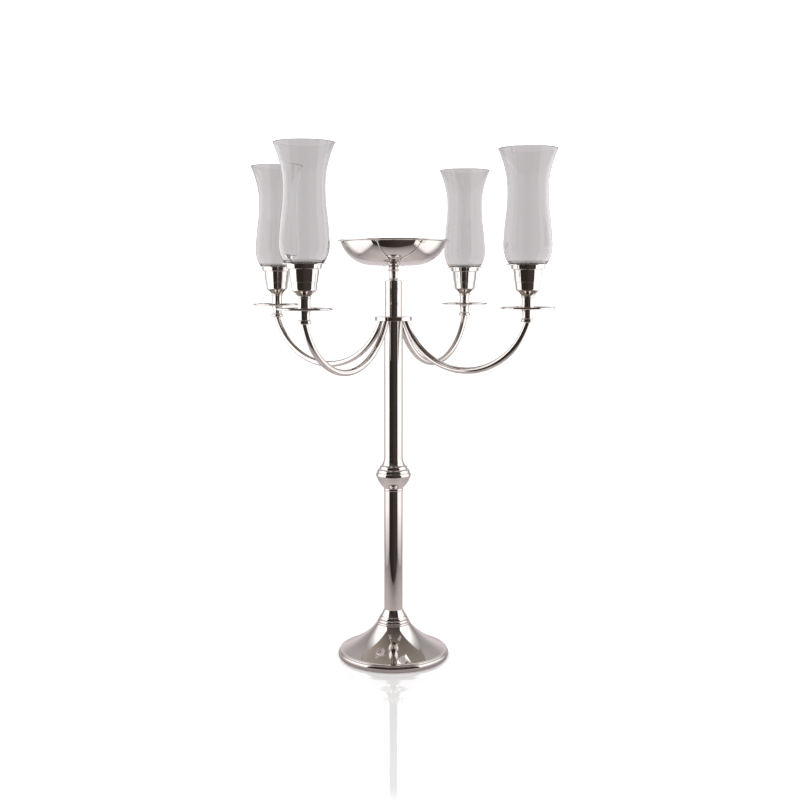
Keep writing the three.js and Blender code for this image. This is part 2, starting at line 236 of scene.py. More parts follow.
def floor_material():
    """White acrylic sheet. A strip of it is polished, from under the object towards the front."""
    material = bpy.data.materials.new("studio_floor")
    material.use_nodes = True
    nodes, links = material.node_tree.nodes, material.node_tree.links
    nodes.clear()
    distance = nodes.new("ShaderNodeVectorMath")
    distance.operation = "LENGTH"
    from_middle = scaled_position(nodes, links, (POLISH_NARROWING, 1, 1), (0, POLISH_FORWARD, 0))
    links.new(from_middle, distance.inputs[0])
    polish = nodes.new("ShaderNodeMapRange")
    polish.interpolation_type = "SMOOTHSTEP"
    polish.inputs["From Min"].default_value = POLISH_FULL
    polish.inputs["From Max"].default_value = POLISH_END
    polish.inputs["To Min"].default_value = 1.0
    polish.inputs["To Max"].default_value = 0.0
    links.new(distance.outputs["Value"], polish.inputs["Value"])
    slant = nodes.new("ShaderNodeLayerWeight")
    slant.inputs["Blend"].default_value = 0.5
    share = nodes.new("ShaderNodeMath")
    share.operation = "MULTIPLY"
    links.new(polish.outputs["Result"], share.inputs[0])
    links.new(slant.outputs["Facing"], share.inputs[1])
    strength = nodes.new("ShaderNodeMath")
    strength.operation = "MULTIPLY"
    strength.inputs[1].default_value = POLISH_SHARE
    links.new(share.outputs[0], strength.inputs[0])
    matt = nodes.new("ShaderNodeBsdfDiffuse")
    matt.inputs["Color"].default_value = (0.86, 0.86, 0.86, 1)
    gloss = nodes.new("ShaderNodeBsdfGlossy")
    gloss.inputs["Color"].default_value = (1, 1, 1, 1)
    gloss.inputs["Roughness"].default_value = 0.03
    mix = nodes.new("ShaderNodeMixShader")
    output = nodes.new("ShaderNodeOutputMaterial")
    links.new(strength.outputs[0], mix.inputs["Fac"])
    links.new(matt.outputs[0], mix.inputs[1])
    links.new(gloss.outputs[0], mix.inputs[2])
    links.new(mix.outputs[0], output.inputs["Surface"])
    return material


def make_world():
    """Even white light all round, a little over white so that the floor and the distance come out white."""
    world = bpy.data.worlds.new("studio_light")
    world.use_nodes = True
    background = world.node_tree.nodes["Background"]
    background.inputs["Color"].default_value = (1, 1, 1, 1)
    background.inputs["Strength"].default_value = 1.56
    bpy.context.scene.world = world
    bpy.context.scene.view_settings.view_transform = "Standard"


def make_domes():
    """Dark room that the metal reflects, and the grey backdrop that shows through the glass shades."""
    left_dark, right_dark = (0.028, 0.023, 0.019), (0.052, 0.042, 0.038)
    room_widths = [(-ROOM_RADIUS, left_dark), (-2, left_dark), (2, right_dark), (ROOM_RADIUS, right_dark)]
    dome("dark_room", ROOM_RADIUS, graded_glow("dark_room", "X", room_widths), ("glossy",))

    grey, pale = (0.59, 0.555, 0.56), (0.93, 0.92, 0.92)
    heights = [(-BACKDROP_RADIUS, pale), (-6, pale), (-2.6, grey), (BACKDROP_RADIUS, grey)]
    widths = [
        (-BACKDROP_RADIUS, 1.6),
        (-4.2, 1.5),
        (-2.2, 1.0),
        (2.2, 1.0),
        (4.2, 1.5),
        (BACKDROP_RADIUS, 1.6),
    ]
    backdrop = graded_glow("through_glass", "Z", heights, "X", widths)
    dome("through_glass", BACKDROP_RADIUS, backdrop, ("transmission",))


def make_tent_walls():
    """Bright cloth at both sides, darker at the foot and towards the back, and a grey cloth behind."""
    foot, low_light, high_light = (0.36, 0.33, 0.34), (0.86, 0.82, 0.835), (1.0, 0.98, 0.98)
    side_heights = [(0, foot), (0.12, low_light), (0.40, high_light), (TENT_TOP, high_light)]
    side_depths = [(TENT_FRONT, 1.4), (0.22, 1.35), (0.42, 0.62), (TENT_BACK, 0.36)]
    sides = graded_glow("tent_side", "Z", side_heights, "Y", side_depths)
    for name, side in (("tent_left", -TENT_SIDE), ("tent_right", TENT_SIDE)):
        upright_card(name, (side, TENT_FRONT), (side, TENT_BACK), 0, TENT_TOP, sides)

    back_heights = [(0, (0.72, 0.65, 0.67)), (0.5, (0.72, 0.68, 0.69)), (BACK_TOP, (0.85, 0.82, 0.82))]
    back_widths = [
        (-TENT_SIDE, 0.42),
        (-0.36, 0.62),
        (-0.24, 1.0),
        (0.24, 1.0),
        (0.36, 0.62),
        (TENT_SIDE, 0.42),
    ]
    back = graded_glow("tent_back", "Z", back_heights, "X", back_widths)
    upright_card("tent_back", (-TENT_SIDE, TENT_BACK), (TENT_SIDE, TENT_BACK), 0, BACK_TOP, back)


def make_tent_floor():
    """Grey board that the metal reflects from below, and a painted shadow of the base on it: a darker ring
    close round the base.
    """
    edge, side, middle = (0.36, 0.33, 0.34), (0.50, 0.455, 0.465), (0.60, 0.54, 0.53)
    widths = [
        (-TENT_SIDE, edge),
        (-0.44, side),
        (-0.22, middle),
        (0.22, middle),
        (0.44, side),
        (TENT_SIDE, edge),
    ]
    depths = [(TENT_FRONT, 0.35), (-0.30, 0.75), (-0.12, 1.0), (TENT_BACK, 1.0)]
    board = graded_glow("tent_floor", "X", widths, "Y", depths)
    level_card("tent_floor", (-TENT_SIDE, TENT_SIDE), (TENT_FRONT, TENT_BACK), -0.001, board)
    # Painted shadow of the base: a dark ring on the board, seen only in reflections
    level_ring("painted_base_shadow", 0.05, 0.13, -0.0005, glow("painted_base_shadow", (0.34, 0.295, 0.295)))


def make_ceiling():
    """Brown ceiling, paler away from the camera and to the left, and a square lamp over the tent."""
    near, far, height = -3, 1.6, 2.4
    depths = [(near, (0.045, 0.034, 0.03)), (-1, (0.10, 0.08, 0.07)), (0.3, (0.23, 0.195, 0.17))]
    depths.append((far, (0.36, 0.32, 0.29)))
    widths = [(-2, 1.35), (2, 0.7)]
    ceiling = graded_glow("ceiling", "Y", depths, "X", widths)
    level_card("ceiling", (-4, 4), (near, far), height, ceiling)
    level_card("lamp", (0.06, 0.27), (0.25, 0.38), TENT_TOP, glow("lamp", (1, 1, 1), 1.4))


def make_studio():
    """Light, floor, and what the metal and the glass show of the room. The floor doesn't show in either."""
    make_world()
    reach = (-FLOOR_REACH, FLOOR_REACH)
    level_card("floor", reach, reach, 0, floor_material(), ("camera", "diffuse"))
    make_domes()
    make_tent_walls()
    make_tent_floor()
    make_ceiling()


# ---- mesh helpers ----


def span(node):
    """Centre, outer radius, bottom and top of a turned CAD node, in millimetres."""
    low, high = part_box(node)
    return SimpleNamespace(
        x=(low[0] + high[0]) / 2 / MM,
        y=(low[1] + high[1]) / 2 / MM,
        radius=(high[0] - low[0]) / 2 / MM,
        bottom=low[2] / MM,
        top=high[2] / MM,
    )


class Outline:
    """Half-section of a turned piece. It runs out along the underside, up the outside and back in."""

    def __init__(self, radius, height, fillet=0.0):
        self.points = [(radius, height)]
        self.fillets = [fillet]

    def line(self, radius, height, fillet=0.25):
        """Straight to a corner, which is rounded by about the fillet."""
        self.points.append((radius, height))
        self.fillets.append(fillet)
        return self

    def curve(self, control_radius, control_height, radius, height, steps=16, fillet=0.0):
        """Smooth curve that leaves towards the control point and arrives from it."""
        start_radius, start_height = self.points[-1]
        for step in range(1, steps + 1):
            t = step / steps
            a, b, c = (1 - t) ** 2, 2 * t * (1 - t), t * t
            self.points.append(
                (
                    a * start_radius + b * control_radius + c * radius,
                    a * start_height + b * control_height + c * height,
                )
            )
            self.fillets.append(0.0)
        self.fillets[-1] = fillet
        return self

    def reed(self, radius, height, proud, steps=16, fillet=0.12):
        """Rounded reed that stands proud of the straight line to the given point."""
        start_radius, start_height = self.points[-1]
        length = math.hypot(radius - start_radius, height - start_height)
        out_radius = (height - start_height) / length
        out_height = -(radius - start_radius) / length
        if self.fillets[-1] == 0:
            self.fillets[-1] = fillet
        for step in range(1, steps + 1):
            t = step / steps
            bulge = proud * math.sin(math.pi * t) ** 0.8
            self.points.append(
                (
                    start_radius + (radius - start_radius) * t + out_radius * bulge,
                    start_height + (height - start_height) * t + out_height * bulge,
                )
            )
            self.fillets.append(0.0)
        self.fillets[-1] = fillet
        return self

    def close(self):
        return self.line(*self.points[0], fillet=0.0)

    def rounded(self):
        """The points with each corner turned into a small arc, held by a support point on each side."""
        arc_steps, support, longest, shortest = 4, 1.4, 0.4, 0.02
        points = [np.array(point) for point in self.points]
        smooth = [points[0]]
        for before, corner, after, fillet in zip(points, points[1:], points[2:], self.fillets[1:]):
            arm_in, arm_out = before - corner, after - corner
            long_in, long_out = np.linalg.norm(arm_in), np.linalg.norm(arm_out)
            reach = min(fillet, longest * long_in, longest * long_out)
            if reach < shortest:
                smooth.append(corner)
                continue
            arm_in, arm_out = arm_in / long_in, arm_out / long_out
            if long_in > 3 * reach:
                smooth.append(corner + arm_in * reach * support)
            for step in range(arc_steps + 1):
                t = step / arc_steps
                a, b, c = (1 - t) ** 2, 2 * t * (1 - t), t * t
                smooth.append(a * (corner + arm_in * reach) + b * corner + c * (corner + arm_out * reach))
            if long_out > 3 * reach:
                smooth.append(corner + arm_out * reach * support)
        smooth.append(points[-1])
        return np.array(smooth)


def add_piece(name, points, faces, material, body, nodes):
    """One visible piece, with its body and the CAD nodes that it stands for."""
    mesh = bpy.data.meshes.new(name)
    mesh.from_pydata([tuple(point) for point in points], [], faces)
    mesh.validate()
    mesh.materials.append(material)
    mesh.shade_smooth()
    mesh.set_sharp_from_angle(angle=math.radians(40))
    piece = bpy.data.objects.new(name, mesh)
    bpy.context.collection.objects.link(piece)
    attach(piece, body)
    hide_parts(*nodes)


def grid_faces(rows, columns, wrap_rows):
    """Quads of a grid that wraps round in columns, and in rows too where wrap_rows is true."""
    faces = []
    for row in range(rows if wrap_rows else rows - 1):
        low, high = row * columns, (row + 1) % rows * columns
        for column in range(columns):
            after = (column + 1) % columns
            faces.append((low + column, low + after, high + after, high + column))
    return faces


def turned_mesh(outline, facets, x=0.0, y=0.0):
    """Points in metres and faces of an outline turned round an upright axis."""
    section = outline.rounded()
    closed = np.allclose(section[0], section[-1])
    angles = np.linspace(0, 2 * math.pi, facets, endpoint=False)
    body = section[:-1] if closed else section[1:-1]
    points = [
        (x + radius * math.cos(angle), y + radius * math.sin(angle), height)
        for radius, height in body
        for angle in angles
    ]
    faces = grid_faces(len(body), facets, closed)
    if not closed:
        bottom, top = len(points), len(points) + 1
        points += [(x, y, section[0][1]), (x, y, section[-1][1])]
        last = (len(body) - 1) * facets
        for column in range(facets):
            after = (column + 1) % facets
            faces.append((bottom, after, column))
            faces.append((top, last + column, last + after))
    return np.array(points) * MM, faces


def turned(name, outline, facets, material, body, slot, x=0.0, y=0.0):
    """Piece that stands for one CAD node, turned from an outline."""
    points, faces = turned_mesh(outline, facets, x, y)
    add_piece(f"{name}_look", points, faces, material, body, [name])


def ring_outline(inner, outer, bottom, top, fillet=0.3):
    outline = Outline(inner, (bottom + top) / 2).line(inner, bottom, fillet).line(outer, bottom, fillet)
    return outline.line(outer, top, fillet).line(inner, top, fillet).close()


# ---- materials ----


def new_material(name):
    material = bpy.data.materials.new(name)
    material.use_nodes = True
    nodes = material.node_tree.nodes
    return material, nodes, material.node_tree.links, nodes["Principled BSDF"]


def scaled_position(nodes, links, scale, offset=(0, 0, 0)):
    """Object coordinates, stretched by a scale along each axis and then moved by the offset."""
    coordinates = nodes.new("ShaderNodeTexCoord")
    mapping = nodes.new("ShaderNodeMapping")
    mapping.inputs["Scale"].default_value = scale
    mapping.inputs["Location"].default_value = offset
    links.new(coordinates.outputs["Object"], mapping.inputs["Vector"])
    return mapping.outputs["Vector"]


def noise(nodes, links, scale, detail=3.0, roughness=0.5, stretch=(1, 1, 1)):
    texture = nodes.new("ShaderNodeTexNoise")
    texture.inputs["Scale"].default_value = scale
    texture.inputs["Detail"].default_value = detail
    texture.inputs["Roughness"].default_value = roughness
    links.new(scaled_position(nodes, links, stretch), texture.inputs["Vector"])
    return texture.outputs["Fac"]


def spread(nodes, links, value, low, high, at_low=0.35, at_high=0.65):
    """Maps a noise value to a range."""
    node = nodes.new("ShaderNodeMapRange")
    node.inputs["From Min"].default_value = at_low
    node.inputs["From Max"].default_value = at_high
    node.inputs["To Min"].default_value = low
    node.inputs["To Max"].default_value = high
    links.new(value, node.inputs["Value"])
    return node.outputs["Result"]


def blend_colours(nodes, links, value, first, second):
    """Mix of two colours by a value from 0 to 1."""
    node = nodes.new("ShaderNodeMix")
    node.data_type = "RGBA"
    node.inputs["A"].default_value = (*first, 1)
    node.inputs["B"].default_value = (*second, 1)
    links.new(value, node.inputs["Factor"])
    return node.outputs["Result"]


def bump(nodes, links, height, strength, distance, below=None):
    node = nodes.new("ShaderNodeBump")
    node.inputs["Strength"].default_value = strength
    node.inputs["Distance"].default_value = distance
    links.new(height, node.inputs["Height"])
    if below is not None:
        links.new(below, node.inputs["Normal"])
    return node.outputs["Normal"]


def nickel_material():
    """Mirror-bright nickel plate: warm, with hand-polishing haze, fine turning lines and soft ripple."""
    material, nodes, links, shader = new_material("polished_nickel")
    shader.inputs["Metallic"].default_value = 1
    haze = spread(nodes, links, noise(nodes, links, 26, 4, 0.6), 0, 1)
    bright, hazy = (0.86, 0.825, 0.80), (0.80, 0.765, 0.735)
    links.new(blend_colours(nodes, links, haze, bright, hazy), shader.inputs["Base Color"])
    smudges = noise(nodes, links, 90, 5, 0.65)
    links.new(spread(nodes, links, smudges, 0.025, 0.075), shader.inputs["Roughness"])
    turning = noise(nodes, links, 1, 2, 0.5, (6, 6, 1900))
    ripple = noise(nodes, links, 34, 1, 0.4)
    soft = bump(nodes, links, ripple, 0.12, 0.0004)
    links.new(bump(nodes, links, turning, 0.10, 0.00002, soft), shader.inputs["Normal"])
    return material


def glass_material():
    """Clear blown glass with a trace of grey and a slow waviness."""
    material, nodes, links, shader = new_material("clear_glass")
    shader.inputs["Base Color"].default_value = (0.95, 0.955, 0.955, 1)
    shader.inputs["Transmission Weight"].default_value = 1
    shader.inputs["IOR"].default_value = 1.47
    film = noise(nodes, links, 22, 3, 0.5)
    links.new(spread(nodes, links, film, 0.0, 0.02), shader.inputs["Roughness"])
    wave = noise(nodes, links, 16, 1, 0.4, (1, 1, 0.45))
    links.new(bump(nodes, links, wave, 0.35, 0.0012), shader.inputs["Normal"])
    return material


def felt_material():
    """Nearly black felt with fibres and a light sheen."""
    material, nodes, links, shader = new_material("felt")
    fibres = noise(nodes, links, 900, 6, 0.7)
    patches = spread(nodes, links, noise(nodes, links, 45, 3, 0.5), 0, 1)
    dark, worn = (0.022, 0.024, 0.022), (0.042, 0.044, 0.04)
    links.new(blend_colours(nodes, links, patches, dark, worn), shader.inputs["Base Color"])
    shader.inputs["Roughness"].default_value = 0.95
    shader.inputs["Sheen Weight"].default_value = 0.35
    links.new(bump(nodes, links, fibres, 0.8, 0.0006), shader.inputs["Normal"])
    return material


def iron_material():
    """Rough sand casting under thin black paint."""
    material, nodes, links, shader = new_material("cast_iron")
    grain = noise(nodes, links, 420, 8, 0.7)
    rust = noise(nodes, links, 35, 5, 0.6)
    rusted = spread(nodes, links, rust, 0, 1, 0.5, 0.75)
    paint, brown = (0.03, 0.03, 0.032), (0.10, 0.05, 0.03)
    links.new(blend_colours(nodes, links, rusted, paint, brown), shader.inputs["Base Color"])
    links.new(spread(nodes, links, rust, 0.5, 0.9), shader.inputs["Roughness"])
    links.new(bump(nodes, links, grain, 0.7, 0.0008), shader.inputs["Normal"])
    return material


def steel_material():
    """Zinc-plated steel fixings: dull, with machining lines."""
    material, nodes, links, shader = new_material("plain_steel")
    shader.inputs["Metallic"].default_value = 1
    tint = noise(nodes, links, 120, 4, 0.6)
    zinc, yellow = (0.56, 0.55, 0.53), (0.62, 0.59, 0.50)
    links.new(
        blend_colours(nodes, links, spread(nodes, links, tint, 0, 1), zinc, yellow),
        shader.inputs["Base Color"],
    )
    links.new(spread(nodes, links, tint, 0.28, 0.45), shader.inputs["Roughness"])
    lines = noise(nodes, links, 1, 2, 0.5, (20, 20, 2600))
    links.new(bump(nodes, links, lines, 0.3, 0.00005), shader.inputs["Normal"])
    return material


# ---- base ----


def base_shell(nickel):
    """Spun dish with a rolled rim, a crease above it, a rounded shoulder and a trumpet up to the neck."""
    dish = span("base_shell")
    rim, bottom, top = dish.radius, dish.bottom, dish.top
    crease, crease_height = rim - 1.7, bottom + 9.2
    neck, sheet = 29, 1.6
    outline = Outline(rim - 5, bottom + 2).line(rim - 4.6, bottom, 0.3)
    outline.line(crease - 0.2, bottom, 0.5).reed(crease, crease_height, 1.7, 24, 0.0)
    outline.line(crease - 0.8, crease_height + 0.2, 0.1).line(crease - 0.7, crease_height + 0.9, 0.3)
    outline.curve(rim - 2.2, bottom + 11.9, rim - 5, bottom + 12.3, 14)
    outline.curve(44, bottom + 32.8, neck, top, 48, 0.15)
    outline.line(neck - 4, top, 0.2).line(neck - 4, top - sheet, 0.2).line(neck - sheet, top - sheet, 0.4)
    outline.curve(43.4, bottom + 31.2, rim - 8, bottom + 10.6, 32)
    outline.curve(rim - 4.8, bottom + 8.8, rim - 5, bottom + 2, 8)
    turned("base_shell", outline, FACETS_WIDE, nickel, "stand", "polished_nickel")


def base_ballast(iron):
    """Cast weight under the dish, with a bore for the rod and a pocket for its nut."""
    weight = span("base_ballast")
    pocket, pocket_top, bore = 16, weight.bottom + 10.1, 6.5
    outline = Outline(pocket, weight.bottom + 2).line(pocket, weight.bottom, 0.8)
    outline.line(weight.radius, weight.bottom, 1.2).line(weight.radius, weight.bottom + 7.1, 1.0)
    outline.line(weight.radius - 2, weight.bottom + 8.6, 1.0).line(weight.radius - 24, weight.top, 2.5)
    outline.line(bore, weight.top, 0.8).line(bore, pocket_top, 0.5).line(pocket, pocket_top, 0.8).close()
    turned("base_ballast", outline, FACETS_SMALL, iron, "stand", "cast_iron")


def felt_pad(felt):
    """Disc of felt under the weight, with a softened edge."""
    pad = span("felt_pad")
    outline = Outline(0, pad.bottom).line(pad.radius, pad.bottom, 0.5).line(pad.radius - 0.2, pad.top, 0.6)
    turned("felt_pad", outline.line(0, pad.top, 0.0), FACETS_SMALL, felt, "stand", "felt")


def base_ferrule(nickel):
    """Collar on the dish: three reeds, then a plain cone up to the column."""
    collar = span("base_ferrule")
    tube = span("lower_column_tube")
    bottom, bore = collar.bottom - JOIN, 12
    outline = Outline(bore, bottom + 8).line(bore, bottom, 0.3).line(28.6, bottom, 0.2)
    outline.reed(26.9, bottom + 3.3, 0.7).reed(24.6, bottom + 7.5, 0.7).reed(21.7, bottom + 13.2, 0.8)
    outline.line(21.1, bottom + 13.9, 0.2).curve(18, bottom + 19.4, tube.radius + 0.1, tube.bottom, 16, 0.2)
    outline.line(bore, tube.bottom, 0.3).close()
    turned("base_ferrule", outline, FACETS_MEDIUM, nickel, "stand", "polished_nickel")


def hex_nut(name, steel, body):
    """Nut with chamfered corners and a plain bore."""
    nut = span(name)
    flat = nut.radius * math.cos(math.pi / 6)
    height = nut.top - nut.bottom
    facets = FACETS_SMALL
    chamfer_slope, chamfer_depth = 1.7, 0.1
    mouth, mouth_depth = 0.6, 0.7
    levels = [0, 0.25, 0.5, 0.8, 1.2, height / 2]
    levels += [height - level for level in reversed(levels[:-1])]
    points = []
    for level in levels:
        limit = flat + min(level, height - level) * chamfer_slope - chamfer_depth
        for column in range(facets):
            angle = 2 * math.pi * column / facets
            across = flat / math.cos((angle % (math.pi / 3)) - math.pi / 6)
            radius = min(across, limit)
            points.append((radius * math.cos(angle), radius * math.sin(angle), nut.bottom + level))
    for level in (height, height - mouth_depth, mouth_depth, 0):
        radius = ROD_HOLE + (mouth if level in (0, height) else 0)
        for column in range(facets):
            angle = 2 * math.pi * column / facets
            points.append((radius * math.cos(angle), radius * math.sin(angle), nut.bottom + level))
    faces = grid_faces(len(levels) + 4, facets, True)
    add_piece(f"{name}_look", np.array(points) * MM, faces, steel, body, [name])


def washer(name, steel, body):
    """Flat washer on the rod."""
    disc = span(name)
    outline = ring_outline(ROD_HOLE + 0.2, disc.radius, disc.bottom, disc.top, 0.2)
    turned(name, outline, FACETS_SMALL, steel, body, "plain_steel")


def threaded(name, steel, body, pitch, depth, threads, x=0.0, y=0.0):
    """Rod with a true helical thread over each of the given height ranges."""
    rod = span(name)
    facets, rows_per_turn = 24, 6
    point_length, point_share, edge = 0.8, 0.55, 0.001
    heights = [rod.bottom, rod.bottom + edge]
    for low, high in threads:
        count = round((high - low) / pitch * rows_per_turn)
        heights += [low + (high - low) * row / count for row in range(count + 1)]
    heights = sorted(heights + [rod.top - edge, rod.top])
    points = []
    for height in heights:
        from_end = min(height - rod.bottom, rod.top - height)
        taper = min(1.0, from_end / point_length + point_share)
        for column in range(facets):
            turn = column / facets
            cut = 0.0
            if any(low <= height <= high for low, high in threads):
                phase = ((height - rod.bottom) / pitch - turn) % 1.0
                cut = depth * (1 - abs(2 * phase - 1))
            radius = (rod.radius - cut) * taper
            angle = 2 * math.pi * turn
            points.append((x + radius * math.cos(angle), y + radius * math.sin(angle), height))
    faces = grid_faces(len(heights), facets, False)
    last = (len(heights) - 1) * facets
    faces.append(tuple(range(facets))[::-1])
    faces.append(tuple(last + column for column in range(facets)))
    add_piece(f"{name}_look", np.array(points) * MM, faces, steel, body, [name])


# ---- column ----


def column_tube(name, nickel, reach_below=JOIN, reach_above=JOIN):
    """Plain tube that reaches to its neighbours by the given amounts."""
    tube = span(name)
    wall = 1.5
    low, high = tube.bottom - reach_below, tube.top + reach_above
    outline = ring_outline(tube.radius - wall, tube.radius, low, high, 0.12)
    turned(name, outline, FACETS_MEDIUM, nickel, "stand", "polished_nickel")


def column_knop(nickel):
    """Bowl-shaped below, three reeds at the widest part, and a concave flare up to the tube."""
    knop = span("column_knop")
    tube = span("lower_column_tube").radius
    bottom, top, widest = knop.bottom + SPIGOT, knop.top - SPIGOT, knop.radius
    bore = 10
    outline = Outline(bore, bottom + 20).line(bore, bottom, 0.3).line(tube + 0.5, bottom, 0.3)
    outline.reed(tube + 0.4, bottom + 3.6, 0.35, 10)
    outline.curve(widest - 4.6, bottom + 11.8, widest - 1.3, bottom + 22.6, 28)
    outline.reed(widest - 1.4, bottom + 30.6, 1.35, 20, 0.0)
    outline.line(widest - 2.2, bottom + 30.8, 0.1).reed(widest - 5.2, bottom + 36.9, 1.2)
    outline.line(widest - 6.1, bottom + 37.2, 0.1).reed(widest - 9.3, bottom + 43.1, 0.9)
    outline.line(widest - 10.0, bottom + 43.4, 0.1).curve(tube + 1.3, bottom + 47.8, tube, top, 20, 0.1)
    outline.line(bore, top, 0.3).close()
    turned("column_knop", outline, FACETS_MEDIUM, nickel, "stand", "polished_nickel")


def arm_hub(nickel):
    """Round disc that the four arms leave from below."""
    hub = span("arm_hub")
    bottom, bore = hub.bottom + SPIGOT, 6.5
    outline = Outline(bore, bottom + 3).line(bore, bottom, 0.3).line(hub.radius, bottom, 0.7)
    outline.line(hub.radius, hub.top, 0.7).line(bore, hub.top, 0.3).close()
    turned("arm_hub", outline, FACETS_MEDIUM, nickel, "arm_tier", "polished_nickel")


def sleeve_cap(nickel):
    """Plug that drops into the sleeve and ends in a thin lip on it."""
    cap = span("sleeve_cap")
    plug, lip = cap.radius - 2, cap.top - 1.0
    outline = Outline(ROD_HOLE, cap.bottom + 3).line(ROD_HOLE, cap.bottom, 0.3).line(plug, cap.bottom, 0.3)
    outline.line(plug, lip, 0.0).line(cap.radius, lip, 0.2).line(cap.radius - 0.4, cap.top, 0.4)
    outline.line(ROD_HOLE, cap.top, 0.3).close()
    turned("sleeve_cap", outline, FACETS_SMALL, nickel, "stand", "polished_nickel")


# ---- bowl ----


def bowl_stem(nickel):
    """Foot, straight neck, bead and a short flare under the bowl."""
    stem = span("bowl_stem")
    foot, bottom, top = stem.radius, stem.bottom, stem.top
    neck, hole_end = 7.2, bottom + 16
    outline = Outline(0, hole_end).line(ROD_HOLE, hole_end, 0.3).line(ROD_HOLE, bottom, 0.3)
    outline.line(foot, bottom, 0.3)
    outline.line(foot - 0.1, bottom + 0.9, 0.3).curve(neck + 0.6, bottom + 1.1, neck, bottom + 4.2, 16)
    outline.line(neck, bottom + 15, 0.3).line(neck + 0.7, bottom + 15.4, 0.2)
    outline.reed(neck + 0.7, bottom + 19.4, 2.6, 24).line(neck, bottom + 19.8, 0.2)
    outline.curve(neck, bottom + 21.8, neck + 2.6, top + JOIN, 12, 0.1).line(0, top + JOIN, 0.0)
    turned("bowl_stem", outline, FACETS_SMALL, nickel, "centre_bowl", "polished_nickel")


def bowl_flange(nickel):
    """Thin disc between the stem and the bowl."""
    disc = span("bowl_flange")
    high = disc.top + JOIN
    outline = Outline(0, disc.bottom).line(disc.radius, disc.bottom, 0.3).line(disc.radius, high, 0.3)
    outline.line(0, high, 0.0)
    turned("bowl_flange", outline, FACETS_SMALL, nickel, "centre_bowl", "polished_nickel")


def bowl(nickel):
    """Spun bowl with a flat floor and a narrow flat lip that is turned under at its edge."""
    dish = span("bowl")
    bottom, rim, lip = dish.bottom, dish.top, dish.radius
    sheet, floor_radius, body = 1.6, 33, dish.radius - 4.25
    outline = Outline(0, bottom).line(floor_radius - 6, bottom, 0.0).line(floor_radius, bottom, 0.0)
    outline.curve(74.8, bottom + 1.0, body, rim - 3, 56, 0.3).line(lip - 0.4, rim - 1.9, 0.3)
    outline.line(lip, rim - 1.0, 0.5).line(lip - 0.3, rim, 0.4).line(body - 0.4, rim - 0.1, 0.8)
    outline.curve(73.2, bottom + 2.3, floor_radius, bottom + sheet, 56).line(0, bottom + sheet, 0.0)
    turned("bowl", outline, FACETS_WIDE, nickel, "centre_bowl", "polished_nickel")


# ---- arms ----


def arm(number, nickel):
    """Bent tube, cut level under the hub and under its ferrule, with a trace of solder at both ends."""
    name = f"arm_{number}"
    hub_level = span("arm_hub").bottom + SPIGOT
    cup = span(f"arm_ferrule_{number}")
    ferrule_level = cup.bottom
    reach = math.hypot(cup.x, cup.y)
    along = np.array([cup.x, cup.y, 0]) / reach
    across = np.array([-along[1], along[0], 0])
    up = np.array([0, 0, 1.0])
    start = -math.acos((BEND_HEIGHT - hub_level) / ARM_BEND)
    end = math.acos((BEND_HEIGHT - ferrule_level) / ARM_BEND)
    solder, solder_reach, cut_reach = 0.8, 0.8, 8
    steps, facets = 120, 48
    ease = [0.5 - 0.5 * math.cos(math.pi * step / steps) for step in range(steps + 1)]
    rings = []
    for t in ease:
        angle = start + (end - start) * t
        reach_here = BEND_REACH + ARM_BEND * math.sin(angle)
        centre = along * reach_here + up * (BEND_HEIGHT - ARM_BEND * math.cos(angle))
        tangent = along * math.cos(angle) + up * math.sin(angle)
        normal = up * math.cos(angle) - along * math.sin(angle)
        from_end = min(t, 1 - t) * (end - start) * ARM_BEND
        radius = ARM_TUBE + solder * math.exp(-from_end / solder_reach)
        level = hub_level if t < 0.5 else ferrule_level
        ring = []
        for column in range(facets):
            around = 2 * math.pi * column / facets
            point = centre + radius * (math.cos(around) * normal + math.sin(around) * across)
            rise = (level - point[2]) / tangent[2] if abs(tangent[2]) > 0.3 else 0.0
            fade = max(0.0, 1 - from_end / cut_reach)
            ring.append(point + tangent * rise * fade if fade else point)
        rings.append(ring)
    points = np.array(rings).reshape(-1, 3) * MM
    faces = grid_faces(len(rings), facets, False)
    faces = [tuple(reversed(face)) for face in faces]
    last = (len(rings) - 1) * facets
    faces.append(tuple(range(facets)))
    faces.append(tuple(last + column for column in reversed(range(facets))))
    add_piece(f"{name}_look", points, faces, nickel, "arm_tier", [name])


def at_cup(piece_name, number):
    """Span of a piece in a cup, and the keywords that place a turned piece there."""
    where = span(f"{piece_name}_{number}")
    return where, {"x": where.x, "y": where.y}


def arm_ferrule(number, nickel):
    """Round ring on the end of the tube, a waisted neck, and a flare under the drip pan."""
    part, place = at_cup("arm_ferrule", number)
    low, high = part.bottom, part.top + JOIN
    outline = Outline(STUD_HOLE, low + 9).line(STUD_HOLE, low, 0.2).line(9.6, low, 0.3)
    outline.reed(9.6, low + 5.8, 1.1, 20).line(8.3, low + 6.3, 0.2).line(8.1, low + 8.2, 0.3)
    outline.curve(7.4, low + 15, 10.2, high - 1.0, 16, 0.2).line(10.4, high, 0.2)
    outline.line(STUD_HOLE, high, 0.2).close()
    turned(f"arm_ferrule_{number}", outline, FACETS_SMALL, nickel, "arm_tier", "polished_nickel", **place)


